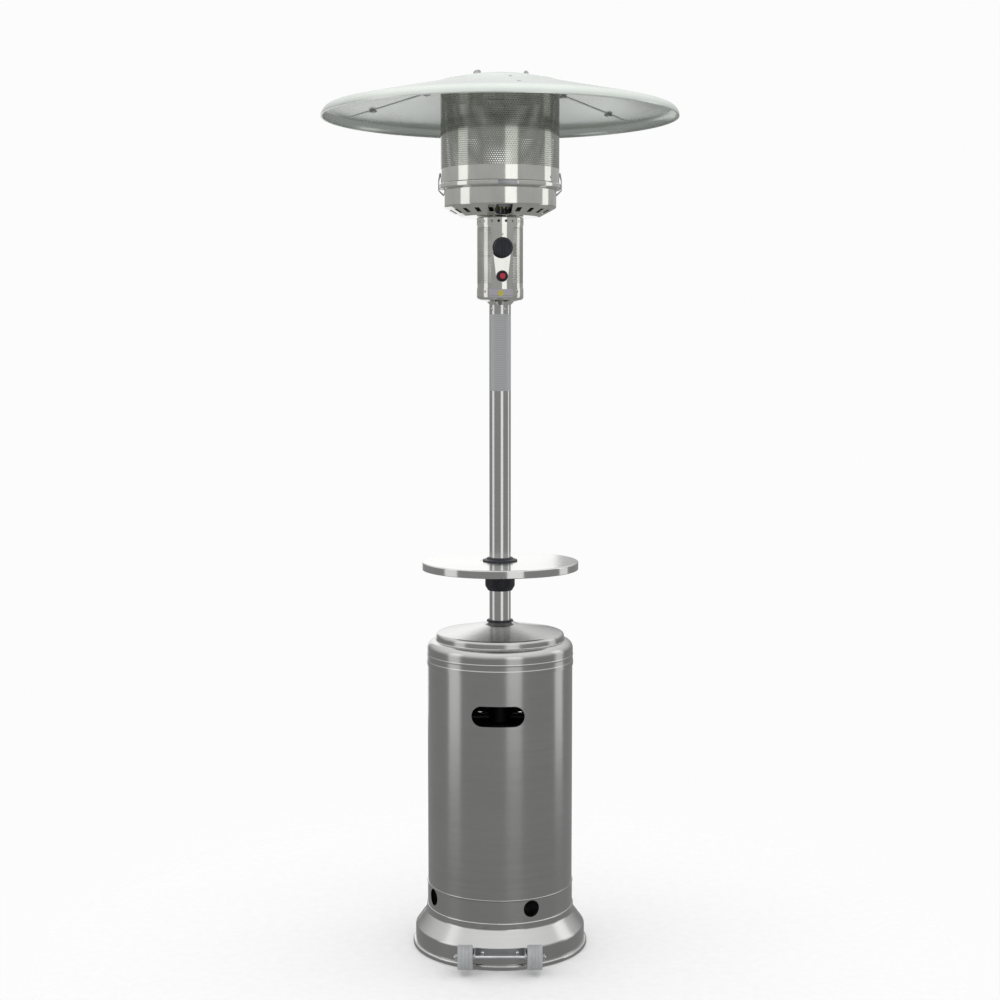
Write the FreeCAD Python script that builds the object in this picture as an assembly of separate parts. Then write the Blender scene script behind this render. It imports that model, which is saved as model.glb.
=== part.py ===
"""Free-standing gas patio heater: base on wheels, tank housing, post, table, control head and reflector.

Millimetres, +Z up. The origin is on the post's axis, on the floor. The front, with the wheels and
the control knob, faces -Y. Azimuths are degrees from the front, positive towards +X.
"""
import FreeCAD, Part
import math
import os

Vector = FreeCAD.Vector
UP = Vector(0, 0, 1)
FRONT = Vector(0, -1, 0)
BACK = Vector(0, 1, 0)
ORIGIN = Vector(0, 0, 0)

TOTAL_HEIGHT = 2205.0

# Base
BEAD_R = 223.0
BEAD_SIZE = 12.0
WALL_R = 216.5
WALL_TOP = 51.0
NECK_R = 188.0
NECK_TOP = 107.0
PAN_SHEET = 1.5
PLATE_BOTTOM = 94.0
PLATE_TOP = 97.0
TANK_PAD_R = 150.0
TANK_PAD = 1.0
WEIGHT_R = 178.0
WEIGHT_THICKNESS = 8.0
VENT_R = 185.3
VENT_TOP = 165.0
VENT_SHEET = 1.2
VENT_HOLE_R = 21.0
VENT_HOLE_Z = 139.0
VENT_HOLE_AZIMUTHS = (25.0, 115.0, 205.0, 295.0)

# Legs and post
LEG_R = 170.0
LEG_TUBE_R = 9.0
LEG_SHEET = 1.5
LEG_AZIMUTHS = (-80.0, 80.0, 180.0)
LEG_TOP = 588.0
LEG_BEND = 45.0
POST_R = 27.2
POST_SHEET = 1.5
POST_TOP = 1632.0
SOCKET_R = 31.0
SOCKET_TOP = 650.0
SOCKET_FLANGE_R = 70.0
SOCKET_FLANGE = 4.0
HOSE_HOLE_R = 18.0

# Wheel kit
WHEEL_R = 30.0
WHEEL_WIDTH = 37.0
WHEEL_X = 85.0
WHEEL_Y = -247.0
WHEEL_Z = 43.5
AXLE_R = 4.0
EAR_X = 61.5
EAR_THICKNESS = 2.0
BRACKET_BOLT_AZIMUTHS = (-11.4, 11.4)

# Tank housing
SHELL_R = 184.3
SHELL_SHEET = 0.8
SHELL_BOTTOM = 165.3
SHELL_TOP = 745.0
DOME_R = 185.3
DOME_SHEET = 1.0
DOME_BOTTOM = 726.0
DOME_NECK_TOP = 834.0
SLOT_WIDTH = 131.0
SLOT_HEIGHT = 51.0
SLOT_Z = 625.0
SLOT_AZIMUTH = -1.6

# Table
TABLE_R = 198.3
TABLE_TOP = 988.0
TABLE_LIP = 20.5
TABLE_SHEET = 1.2
TABLE_STEP = 0.6
TABLE_BORE_R = 28.0
NUT_R = 37.6
NUT_BOTTOM = 913.0

# Control housing. The head is turned a little on the post.
HEAD_TURN = 6.0
CUP_R = 58.6
CUP_SHEET = 1.2
CUP_TOP = 1673.0
CONTROL_R = 57.4
CONTROL_SHEET = 0.8
COLLAR_BOTTOM = 1828.0
COLLAR_TOP = 1848.0
PANEL_R = 57.9
PANEL_SHEET = 1.0
PANEL_HALF_ANGLE = 27.0
FLOOR_Y = -50.0
KNOB_Z = 1771.5
KNOB_R = 25.3
KNOB_BACK = -62.5
KNOB_FRONT = -80.0
RECESS_TOP_R = 24.5
RECESS_LOW_R = 16.5
IGNITER_Z = 1702.0
BEZEL_R = 14.0
BUTTON_R = 7.6
SPINDLE_R = 4.0
COLLAR_HOLES = 20

# Burner and emitter
BOWL_BOTTOM = 1849.0
BOWL_BOTTOM_R = 97.0
BOWL_R = 140.0
BOWL_CORNER_Z = 1872.0
BOWL_SHEET = 1.0
RING_BOTTOM = 1917.0
RING_TOP = 1930.5
RING_R = 149.0
CLOSURE_AZIMUTH = 1.2
CLOSURE_HALF_ANGLE = 9.0
SCREEN_R = 147.3
SCREEN_SHEET = 0.8
SCREEN_TOP = 2160.0
SLOT_COUNT = 22
SLOT_SHARE = 0.8
VENT_SLOT_WIDTH = 12.5
WINDOW_WIDTH = 34.0

# Reflector
RIM_R = 442.5
RIM_BOTTOM = 2092.0
RIM_CORNER_Z = 2110.8
REFLECTOR_SHEET = 1.0
DISH_R = 400.0
DISH_Z = 2121.0
DISH_MIDDLE_R = 200.0
DISH_MIDDLE_Z = 2165.0
DISH_INNER_R = 60.0
DISH_INNER_Z = 2194.5
PANEL_COUNT = 3
SEAM_AZIMUTH = 7.0
SEAM_SCREW_RADII = (200.0, 352.0)
HUB_R = 154.0
HUB_MIDDLE_R = 100.0
HUB_MIDDLE_Z = 2189.5
STUD_PITCH_R = 70.0
STUD_TOP = 2203.0
STUD_AZIMUTHS = (67.0, 187.0, 307.0)


# ---------------------------------------------------------------- outlines and solids

def on_xz(point):
    """Place an outline point (radius, height) in the XZ plane."""
    return Vector(point[0], 0, point[1])


def on_xy(point):
    """Place an outline point in the XY plane."""
    return Vector(point[0], point[1], 0)


def corner_arc(before, corner, after):
    """Start, middle and end of the arc that rounds a corner (x, y, radius)."""
    here = Vector(corner[0], corner[1], 0)
    to_before = (Vector(before[0], before[1], 0) - here).normalize()
    to_after = (Vector(after[0], after[1], 0) - here).normalize()
    radius = corner[2]
    half = to_before.getAngle(to_after) / 2
    inward = (to_before + to_after).normalize()
    cut = radius / math.tan(half)
    middle = here + inward * (radius / math.sin(half) - radius)
    return here + to_before * cut, middle, here + to_after * cut


def outline(corners, closed=True, place=on_xz):
    """A wire through the corners (x, y, radius), with each corner rounded by its radius."""
    count = len(corners)
    spans = []
    for i, corner in enumerate(corners):
        inner = closed or 0 < i < count - 1
        if inner and corner[2] > 0:
            spans.append(corner_arc(corners[i - 1], corner, corners[(i + 1) % count]))
        else:
            here = Vector(corner[0], corner[1], 0)
            spans.append((here, None, here))
    edges = []
    for i, (start, middle, end) in enumerate(spans):
        if middle is not None:
            edges.append(Part.Arc(place(start), place(middle), place(end)).toShape())
        if closed or i < count - 1:
            following = spans[(i + 1) % count][0]
            if (following - end).Length > 1e-6:
                edges.append(Part.LineSegment(place(end), place(following)).toShape())
    return Part.Wire(edges)


def spun(corners):
    """A solid of revolution about +Z from a closed outline of (radius, height, rounding)."""
    return Part.Face(outline(corners)).revolve(ORIGIN, UP, 360)


def sheet_corners(path, thickness):
    """The closed outline of sheet metal that lies to the left of a path."""
    points = [Vector(r, z, 0) for r, z, bend in path]
    normals = []
    for a, b in zip(points, points[1:]):
        run = (b - a).normalize()
        normals.append(Vector(-run.y, run.x, 0))
    far_side = []
    for i, (r, z, bend) in enumerate(path):
        first = normals[max(i - 1, 0)]
        second = normals[min(i, len(normals) - 1)]
        shift = (first + second) * (thickness / (1 + first.dot(second)))
        turns_left = first.x * second.y - first.y * second.x > 0
        if bend == 0:
            far_bend = 0
        elif turns_left:
            far_bend = max(bend - thickness, 0.2)
        else:
            far_bend = bend + thickness
        far_r = r + shift.x if r > 0 else 0
        far_side.append((far_r, z + shift.y, far_bend))
    return list(path) + far_side[::-1]


def spun_sheet(path, thickness):
    """A spun sheet-metal shell: the path is its outer side, drawn upwards or inwards."""
    return spun(sheet_corners(path, thickness))


def ring(inner, outer, low, high, rounding=0.0):
    """A plain ring about +Z."""
    return spun([(inner, low, 0), (outer, low, rounding), (outer, high, rounding), (inner, high, 0)])


def drum(radius, low, high):
    """A plain cylinder about +Z."""
    return Part.makeCylinder(radius, high - low, Vector(0, 0, low))


def box(low, high):
    """A box from its lowest corner to its highest one."""
    size = Vector(*high) - Vector(*low)
    return Part.makeBox(size.x, size.y, size.z, Vector(*low))


def placed(shape, position, direction):
    """Move a shape made along +Z at the origin to a position, with +Z along the direction."""
    shape = shape.copy()
    shape.Placement = FreeCAD.Placement(position, FreeCAD.Rotation(UP, direction))
    return shape


def turned(shape, azimuth):
    """A copy of a shape made at the front, turned about the post's axis."""
    copy = shape.copy()
    copy.rotate(ORIGIN, UP, azimuth)
    return copy


def polar(radius, azimuth, z):
    """The point at a radius, azimuth and height."""
    angle = math.radians(azimuth)
    return Vector(radius * math.sin(angle), -radius * math.cos(angle), z)


def outward(azimuth):
    """The level direction away from the axis at an azimuth."""
    return polar(1, azimuth, 0)


def wedge(radius, low, high, half_angle):
    """A slice of a drum centred on the front, for cutting sectors."""
    face = Part.Face(outline([(0, low, 0), (radius, low, 0), (radius, high, 0), (0, high, 0)]))
    sector = face.revolve(ORIGIN, UP, 2 * half_angle)
    sector.rotate(ORIGIN, UP, -90 - half_angle)
    return sector


def obround(width, height, depth):
    """A slot-shaped prism centred on the Z axis, its long side along X."""
    half = height / 2
    straight = width / 2 - half
    corners = [(-width / 2, -half, half), (width / 2, -half, half),
               (width / 2, half, half), (-width / 2, half, half)]
    if straight <= 0:
        return Part.makeCylinder(half, depth)
    return Part.Face(outline(corners, place=on_xy)).extrude(UP * depth)


def hexagon(across_flats, height):
    """A hexagonal prism on the Z axis."""
    radius = across_flats / math.sqrt(3)
    corners = [(radius * math.cos(math.radians(60 * i)), radius * math.sin(math.radians(60 * i)), 0)
               for i in range(6)]
    return Part.Face(outline(corners, place=on_xy)).extrude(UP * height)


def joined(shapes):
    """One solid from shapes that overlap or share faces."""
    first, rest = shapes[0], list(shapes[1:])
    return first.fuse(rest).removeSplitter()


def group(shapes):
    """Separate solids that share one node."""
    return Part.makeCompound(shapes)


# ---------------------------------------------------------------- fasteners

def screw(position, direction, head_r, head_height, shank_r, length):
    """A round-head screw with a cross recess. The direction points out of the surface."""
    head = spun([(0, 0, 0), (head_r, 0, 0), (head_r, head_height, head_height * 0.8), (0, head_height, 0)])
    arm = head_r * 0.55
    blade = head_r * 0.11
    depth = head_height * 0.5
    head = head.cut(box((-arm, -blade, head_height - depth), (arm, blade, head_height)))
    head = head.cut(box((-blade, -arm, head_height - depth), (blade, arm, head_height)))
    shank = Part.makeCylinder(shank_r, length, Vector(0, 0, -length))
    return placed(joined([head, shank]), position, direction)


def hex_bolt(position, direction, flats, shank_r, grip):
    """A hexagon-head bolt with its nut at the far end of the grip."""
    head_height = shank_r * 1.3
    nut_height = shank_r * 1.6
    head = hexagon(flats, head_height)
    shank = Part.makeCylinder(shank_r, grip + nut_height + 1, Vector(0, 0, -grip - nut_height - 1))
    nut = hexagon(flats, nut_height)
    nut.translate(Vector(0, 0, -grip - nut_height))
    return placed(joined([head, shank, nut]), position, direction)


def drilled(shape, fasteners):
    """A shape with the holes that its fasteners fill."""
    return shape.cut(fasteners)


# ---------------------------------------------------------------- base, legs and post

def base_pan():
    """The spun skirt with its rolled bead, which the heater stands on."""
    skirt = spun_sheet([(WALL_R, BEAD_SIZE / 2, 0), (WALL_R, WALL_TOP, 10), (NECK_R, 90, 7),
                        (NECK_R, NECK_TOP, 2.4), (NECK_R - 2.1, NECK_TOP, 0)], PAN_SHEET)
    bead = ring(BEAD_R - BEAD_SIZE, BEAD_R, 0, BEAD_SIZE, 4)
    return joined([skirt, bead])


def base_plate():
    """The deck over the weight, with a raised pad where the gas tank stands."""
    deck = drum(NECK_R - PAN_SHEET, PLATE_BOTTOM, PLATE_TOP)
    return joined([deck, drum(TANK_PAD_R, PLATE_TOP, PLATE_TOP + TANK_PAD)])


def vent_ring():
    """The ring with round vents that the tank housing rests on."""
    bead_r = VENT_R + 1.5
    spigot_r = VENT_R - 2.6
    body = spun_sheet([(VENT_R, PLATE_TOP, 0), (VENT_R, VENT_TOP - 4.2, 1), (bead_r, VENT_TOP - 2.8, 1.3),
                       (bead_r, VENT_TOP, 1.3), (spigot_r, VENT_TOP, 1.3), (spigot_r, VENT_TOP + 9, 0)],
                      VENT_SHEET)
    for azimuth in VENT_HOLE_AZIMUTHS:
        start = polar(VENT_R - 20, azimuth, VENT_HOLE_Z)
        body = body.cut(Part.makeCylinder(VENT_HOLE_R, 30, start, outward(azimuth)))
    return body


def support_leg():
    """One leg at the front: a foot tab, an upright tube and an arm that reaches the post socket."""
    centre_line = outline([(LEG_R, PLATE_TOP + 3, 0), (LEG_R, LEG_TOP, LEG_BEND), (SOCKET_R - 3, LEG_TOP, 0)],
                          closed=False)
    start = Vector(LEG_R, 0, PLATE_TOP + 3)
    outer = Part.Wire(Part.makeCircle(LEG_TUBE_R, start, UP))
    inner = Part.Wire(Part.makeCircle(LEG_TUBE_R - LEG_SHEET, start, UP))
    tube = centre_line.makePipeShell([outer], True, True)
    tube = tube.cut(centre_line.makePipeShell([inner], True, True))
    tube.rotate(ORIGIN, UP, -90)
    tube = tube.cut(drum(SOCKET_R, LEG_TOP - 20, LEG_TOP + 20))
    foot = box((-28, -LEG_R - 9.5, PLATE_TOP), (28, -LEG_R + 9, PLATE_TOP + 3))
    return joined([foot, tube])


def leg_bolts():
    """Two bolts through each foot, the base plate and the weight."""
    grip = PLATE_TOP + 3 - (PLATE_BOTTOM - WEIGHT_THICKNESS)
    bolts = []
    for azimuth in LEG_AZIMUTHS:
        for side in (-1, 1):
            bolt = hex_bolt(Vector(side * 20, -LEG_R, PLATE_TOP + 3), UP, 10, 3, grip)
            bolts.append(turned(bolt, azimuth))
    return bolts


def socket_bolts():
    """One bolt through each arm and the socket's flange."""
    top = LEG_TOP + LEG_TUBE_R
    grip = top - (LEG_TOP - LEG_TUBE_R - SOCKET_FLANGE)
    return [turned(hex_bolt(Vector(0, -52, top), UP, 10, 3, grip), azimuth) for azimuth in LEG_AZIMUTHS]


def post_socket():
    """The socket that the three arms carry and the post stands in."""
    low = LEG_TOP - LEG_TUBE_R - SOCKET_FLANGE
    flange_top = low + SOCKET_FLANGE
    return spun([(HOSE_HOLE_R, low, 0), (SOCKET_FLANGE_R, low, 0), (SOCKET_FLANGE_R, flange_top, 0),
                 (SOCKET_R, flange_top, 0), (SOCKET_R, SOCKET_TOP, 0), (POST_R, SOCKET_TOP, 0),
                 (POST_R, flange_top, 0), (HOSE_HOLE_R, flange_top, 0)])


def post_screws():
    """Two screws at the top of the post and two through the socket."""
    screws = []
    for azimuth in (-50, 26):
        screws.append(screw(polar(POST_R, azimuth, 1621), outward(azimuth), 4, 2.4, 2, 5))
    for azimuth in (0, 180):
        screws.append(screw(polar(SOCKET_R, azimuth, SOCKET_TOP - 18), outward(azimuth), 4, 2.4, 2, 8))
    return screws


def stand_parts():
    """Base, legs, socket and post."""
    bolts = group(leg_bolts() + socket_bolts())
    pins = group(post_screws())
    weight = ring(20, WEIGHT_R, PLATE_BOTTOM - WEIGHT_THICKNESS, PLATE_BOTTOM)
    parts = {
        "base_pan": base_pan(),
        "base_weight": drilled(weight, bolts),
        "base_plate": drilled(base_plate(), bolts),
        "vent_ring": vent_ring(),
        "frame_bolts": bolts,
        "post_socket": drilled(drilled(post_socket(), bolts), pins),
        "post": drilled(ring(POST_R - POST_SHEET, POST_R, LEG_TOP - LEG_TUBE_R, POST_TOP), pins),
        "post_screws": pins,
    }
    for number, azimuth in enumerate(LEG_AZIMUTHS, 1):
        leg = turned(support_leg(), azimuth)
        parts[f"support_leg_{number}"] = drilled(leg, bolts)
    return parts


# ---------------------------------------------------------------- wheel kit

def wheel():
    """A wheel with dished sides and a hub, made about Z and laid along X."""
    half = WHEEL_WIDTH / 2
    hub_r, dish_r, dish = 9.0, 22.0, 5.0
    body = spun([(AXLE_R + 0.06, -half, 0), (hub_r, -half, 0.6), (hub_r, -half + dish, 0), (dish_r, -half + dish, 0),
                 (dish_r, -half, 0.8), (WHEEL_R, -half, 4), (WHEEL_R, half, 4), (dish_r, half, 0.8),
                 (dish_r, half - dish, 0), (hub_r, half - dish, 0), (hub_r, half, 0.6), (AXLE_R + 0.06, half, 0)])
    return placed(body, Vector(0, WHEEL_Y, WHEEL_Z), Vector(1, 0, 0))


def wheel_bracket():
    """A plate that hugs the base wall, with an ear at each end for the axle."""
    half_angle = math.degrees(math.asin((EAR_X + EAR_THICKNESS / 2) / (WALL_R + EAR_THICKNESS)))
    plate = ring(WALL_R, WALL_R + EAR_THICKNESS, 27, 54).common(wedge(300, 0, 100, half_angle))
    solids = [plate]
    for side in (-1, 1):
        x = side * EAR_X
        nose = Part.makeCylinder(13, EAR_THICKNESS, Vector(x - EAR_THICKNESS / 2, WHEEL_Y, WHEEL_Z),
                                 Vector(1, 0, 0))
        arm = box((x - EAR_THICKNESS / 2, WHEEL_Y, WHEEL_Z - 13), (x + EAR_THICKNESS / 2, -200, 54))
        solids += [nose, arm]
    bracket = joined(solids).cut(drum(WALL_R, 0, 100))
    return bracket.cut(axle())


def axle():
    """The rod that both wheels turn on."""
    half = WHEEL_X + WHEEL_WIDTH / 2 + 9
    return Part.makeCylinder(AXLE_R, 2 * half, Vector(-half, WHEEL_Y, WHEEL_Z), Vector(1, 0, 0))


def axle_nuts():
    """Nuts outside each wheel and between each wheel and its ear."""
    inner = EAR_X + EAR_THICKNESS / 2
    outer = WHEEL_X + WHEEL_WIDTH / 2 + 0.6
    nuts = []
    for side in (-1, 1):
        for start, thickness in ((inner, 2.6), (outer, 6.0)):
            nut = hexagon(13, thickness).cut(Part.makeCylinder(AXLE_R, thickness))
            nuts.append(placed(nut, Vector(side * start, WHEEL_Y, WHEEL_Z), Vector(side, 0, 0)))
    return group(nuts)


def bracket_bolts():
    """The bolts that hold the bracket to the base wall."""
    radius = WALL_R + EAR_THICKNESS
    return [screw(polar(radius, azimuth, 41), outward(azimuth), 5.5, 3.2, 3, 10)
            for azimuth in BRACKET_BOLT_AZIMUTHS]


def wheel_parts():
    """Bracket, axle, nuts and the two wheels."""
    bolts = group(bracket_bolts())
    left, right = wheel(), wheel()
    left.translate(Vector(-WHEEL_X, 0, 0))
    right.translate(Vector(WHEEL_X, 0, 0))
    return {
        "wheel_bracket": drilled(wheel_bracket(), bolts),
        "bracket_bolts": bolts,
        "axle": axle(),
        "axle_nuts": axle_nuts(),
        "wheel_left": left,
        "wheel_right": right,
    }


# ---------------------------------------------------------------- tank housing and table

def housing_shell():
    """The cylinder round the gas tank, with a hand slot at the front and one at the back."""
    shell = ring(SHELL_R - SHELL_SHEET, SHELL_R, SHELL_BOTTOM, SHELL_TOP)
    slot = placed(obround(SLOT_WIDTH, SLOT_HEIGHT, 40), Vector(0, -SHELL_R + 20, SLOT_Z), FRONT)
    for azimuth in (SLOT_AZIMUTH, SLOT_AZIMUTH + 180):
        shell = shell.cut(turned(slot, azimuth))
    return shell


def housing_dome():
    """The domed top, which overlaps the shell and closes round the post."""
    return spun_sheet([(DOME_R + 0.9, DOME_BOTTOM, 0), (DOME_R + 0.9, DOME_BOTTOM + 10, 1.5),
                       (DOME_R, DOME_BOTTOM + 12, 1.5), (DOME_R, 749, 1.2), (DOME_R + 0.8, 750.5, 1.2),
                       (DOME_R + 0.8, 752.5, 1.2), (DOME_R, 754, 1.2), (DOME_R, 785.5, 21),
                       (163.5, 787.5, 2.5), (162, 805.5, 9), (44, 827.5, 12), (33, DOME_NECK_TOP, 2.5),
                       (29.5, DOME_NECK_TOP, 0)], DOME_SHEET)


def housing_grommet():
    """The black ring in the dome's neck that slides on the post."""
    bore = POST_R + 0.07
    low = DOME_NECK_TOP - DOME_SHEET
    return spun([(bore, low - 3, 0), (31.5, low - 3, 0.8), (31.5, low, 0), (29.5, low, 0),
                 (29.5, DOME_NECK_TOP, 0), (33.5, DOME_NECK_TOP, 0), (33.5, DOME_NECK_TOP + 4, 1.8),
                 (bore, DOME_NECK_TOP + 4, 0)])


def table_top():
    """The round table with its turned-down lip and a step down to the collar's seat."""
    low = TABLE_TOP - TABLE_LIP
    seat = TABLE_TOP - TABLE_STEP
    return spun_sheet([(TABLE_R - 6, low, 0), (TABLE_R, low, 1.6), (TABLE_R, TABLE_TOP, 3.5), (50, TABLE_TOP, 0),
                       (48.5, seat, 0), (TABLE_BORE_R + 1.5, seat, 0)], TABLE_SHEET)


def table_collar():
    """The flanged sleeve in the middle of the table."""
    seat = TABLE_TOP - TABLE_STEP
    return spun([(TABLE_BORE_R, 942, 0), (TABLE_BORE_R + 1.5, 942, 0), (TABLE_BORE_R + 1.5, seat, 0),
                 (44, seat, 0), (44, seat + 4.2, 2), (34, seat + 5.6, 2),
                 (32.5, TABLE_TOP + 9, 1.5), (TABLE_BORE_R, TABLE_TOP + 9, 0)])


def table_nut():
    """The bowl-shaped nut that locks the table on the post."""
    top = TABLE_TOP - TABLE_STEP - TABLE_SHEET - 0.4
    seat = 941.6
    return spun([(TABLE_BORE_R, NUT_BOTTOM, 0.6), (30.6, NUT_BOTTOM, 1.5), (NUT_R, NUT_BOTTOM + 12, 9),
                 (NUT_R, top, 1.2), (TABLE_BORE_R + 1.9, top, 0), (TABLE_BORE_R + 1.9, seat, 0),
                 (TABLE_BORE_R, seat, 0)])


def housing_and_table_parts():
    """Everything that slides on the post."""
    return {
        "housing_shell": housing_shell(),
        "housing_dome": housing_dome(),
        "housing_grommet": housing_grommet(),
        "table_top": table_top(),
        "table_collar": table_collar(),
        "table_nut": table_nut(),
    }


# ---------------------------------------------------------------- control housing

def control_cup():
    """The cup at the foot of the control housing, which narrows to the post."""
    cup = spun_sheet([(POST_R - 0.3, POST_TOP, 0), (34.5, 1640, 2.5), (CUP_R, 1646, 9), (CUP_R, CUP_TOP, 0)],
                     CUP_SHEET)
    return cup.cut(box((-18, -60, 1640.4), (18, -30, 1642.8)))


def head_spigot():
    """The tube that plugs into the post and carries the cup on a flange."""
    tube_r = POST_R - POST_SHEET
    return spun([(tube_r - 1.5, 1585, 0), (tube_r, 1585, 0), (tube_r, 1645.4, 0), (49, 1645.4, 0),
                 (49, 1647.4, 0), (tube_r - 1.5, 1647.4, 0)])


def control_shell():
    """The perforated shell, open at the front for the panel."""
    shell = ring(CONTROL_R - CONTROL_SHEET, CONTROL_R, CUP_TOP - 20, COLLAR_TOP - 3)
    return shell.cut(wedge(100, CUP_TOP - 30, COLLAR_TOP, PANEL_HALF_ANGLE))


def recess_prism(shrink, front, back):
    """The tear-drop space round the knob and the igniter, from its front plane to its back one."""
    top_r = RECESS_TOP_R - shrink
    low_r = RECESS_LOW_R - shrink
    slope = math.asin((top_r - low_r) / (KNOB_Z - IGNITER_Z))
    out, down = math.cos(slope), math.sin(slope)

    def at(x, z):
        return Vector(x, front, z)

    edges = [
        Part.Arc(at(top_r * out, KNOB_Z - top_r * down), at(0, KNOB_Z + top_r),
                 at(-top_r * out, KNOB_Z - top_r * down)).toShape(),
        Part.LineSegment(at(-top_r * out, KNOB_Z - top_r * down),
                         at(-low_r * out, IGNITER_Z - low_r * down)).toShape(),
        Part.Arc(at(-low_r * out, IGNITER_Z - low_r * down), at(0, IGNITER_Z - low_r),
                 at(low_r * out, IGNITER_Z - low_r * down)).toShape(),
        Part.LineSegment(at(low_r * out, IGNITER_Z - low_r * down),
                         at(top_r * out, KNOB_Z - top_r * down)).toShape(),
    ]
    return Part.Face(Part.Wire(edges)).extrude(Vector(0, back - front, 0))


def control_panel():
    """The smooth front panel with its tear-drop recess."""
    low, high = CUP_TOP, COLLAR_BOTTOM
    skin = ring(PANEL_R - PANEL_SHEET, PANEL_R, low, high).common(wedge(100, low, high, PANEL_HALF_ANGLE))
    skin = skin.cut(recess_prism(0, -70, FLOOR_Y))
    wall = recess_prism(0, -70, FLOOR_Y).cut(recess_prism(PANEL_SHEET, -70, FLOOR_Y))
    wall = wall.common(drum(PANEL_R, low, high))
    floor = recess_prism(0, FLOOR_Y, FLOOR_Y + PANEL_SHEET)
    floor = floor.cut(Part.makeCylinder(SPINDLE_R + 0.6, 20, Vector(0, FLOOR_Y - 10, KNOB_Z), BACK))
    floor = floor.cut(Part.makeCylinder(BUTTON_R + 0.4, 20, Vector(0, FLOOR_Y - 10, IGNITER_Z), BACK))
    return joined([skin, wall, floor])


def control_collar():
    """The top collar with its ring of holes."""
    collar = spun_sheet([(CUP_R, COLLAR_BOTTOM, 0), (CUP_R, COLLAR_TOP, 3), (20, COLLAR_TOP, 0)], CUP_SHEET)
    for i in range(COLLAR_HOLES):
        azimuth = (i + 0.5) * 360 / COLLAR_HOLES
        start = polar(CUP_R - 10, azimuth, COLLAR_TOP - 11)
        collar = collar.cut(Part.makeCylinder(3.6, 20, start, outward(azimuth)))
    return collar


def valve_body():
    """The gas valve: a block with a neck for the spindle, an inlet below and an outlet above."""
    block = box((-15, -34, KNOB_Z - 17), (15, 12, KNOB_Z + 17))
    neck = Part.makeCylinder(10, 3, Vector(0, -34, KNOB_Z), FRONT)
    bore = Part.makeCylinder(SPINDLE_R + 0.3, 26, Vector(0, -40, KNOB_Z), BACK)
    return joined([block, neck]).cut(bore)


def valve_inlet():
    """The brass inlet fitting, which points down into the post."""
    top = KNOB_Z - 17
    hexes = hexagon(17, 8)
    hexes.translate(Vector(0, 0, top - 8))
    stem = ring(3, 7.9, top - 30, top - 8)
    return joined([stem, hexes.cut(drum(3, top - 8, top))])


def orifice():
    """The brass orifice between the valve and the burner tube."""
    low = KNOB_Z + 17
    holder = hexagon(12, 14)
    holder.translate(Vector(0, 0, low))
    return joined([holder, drum(4, low + 14, low + 24)])


def valve_bracket():
    """The plate that carries the valve across the control housing."""
    low = KNOB_Z - 19
    plate = box((-60, -14, low), (60, 14, low + 2)).common(drum(CONTROL_R - CONTROL_SHEET, 1600, 1900))
    return plate.cut(drum(10.2, low - 1, low + 3))


def push_collar():
    """The collar on the spindle that the knob pushes in to open the pilot gas."""
    collar = Part.makeCylinder(7, 5.5, Vector(0, FLOOR_Y + 3, KNOB_Z), BACK)
    return collar.cut(Part.makeCylinder(SPINDLE_R + 0.06, 10, Vector(0, FLOOR_Y, KNOB_Z), BACK))


def knob():
    """The control knob with finger flutes and its spindle."""
    grip_r = KNOB_R - 1.6
    depth = KNOB_BACK - KNOB_FRONT
    body = spun([(0, 0, 0), (KNOB_R, 0, 0), (KNOB_R, 3, 1.2), (grip_r, 4.5, 1), (grip_r - 1.2, depth, 2.4),
                 (0, depth, 0)])
    flute = Part.makeCylinder(3.2, depth, Vector(grip_r + 1.4, 0, 5))
    for i in range(12):
        cutter = flute.copy()
        cutter.rotate(ORIGIN, UP, 30 * i + 15)
        body = body.cut(cutter)
    body = placed(body, Vector(0, KNOB_BACK, KNOB_Z), FRONT)
    spindle = Part.makeCylinder(SPINDLE_R, 42, Vector(0, KNOB_BACK - 4, KNOB_Z), BACK)
    return body, spindle


def igniter_bezel():
    """The black collar round the igniter button."""
    bezel = spun([(BUTTON_R + 0.3, 0, 0), (BEZEL_R, 0, 0), (BEZEL_R, 9, 2.2), (BUTTON_R + 2.6, 10.5, 1),
                  (BUTTON_R + 0.3, 9.2, 0.4)])
    return placed(bezel, Vector(0, FLOOR_Y, IGNITER_Z), FRONT)


def piezo_igniter():
    """The piezo body behind the panel, open at the front for the button."""
    body = Part.makeCylinder(10, 42, Vector(0, FLOOR_Y + PANEL_SHEET, IGNITER_Z), BACK)
    return body.cut(Part.makeCylinder(BUTTON_R + 0.3, 12, Vector(0, FLOOR_Y + PANEL_SHEET, IGNITER_Z), BACK))


def igniter_button():
    """The button that fires the piezo igniter."""
    button = spun([(0, 0, 0), (BUTTON_R, 0, 0), (BUTTON_R, 17, 1.4), (0, 17, 0)])
    return placed(button, Vector(0, FLOOR_Y + 4, IGNITER_Z), FRONT)


def control_screws():
    """Screws round the cup and the collar, and one above the knob."""
    screws = [screw(polar(CUP_R, azimuth, 1665), outward(azimuth), 3.6, 1.8, 1.8, 5)
              for azimuth in (-46, 40, 134, 220)]
    screws.append(screw(polar(PANEL_R, 0, 1804), FRONT, 2.6, 1.4, 1.4, 5))
    return screws


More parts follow.
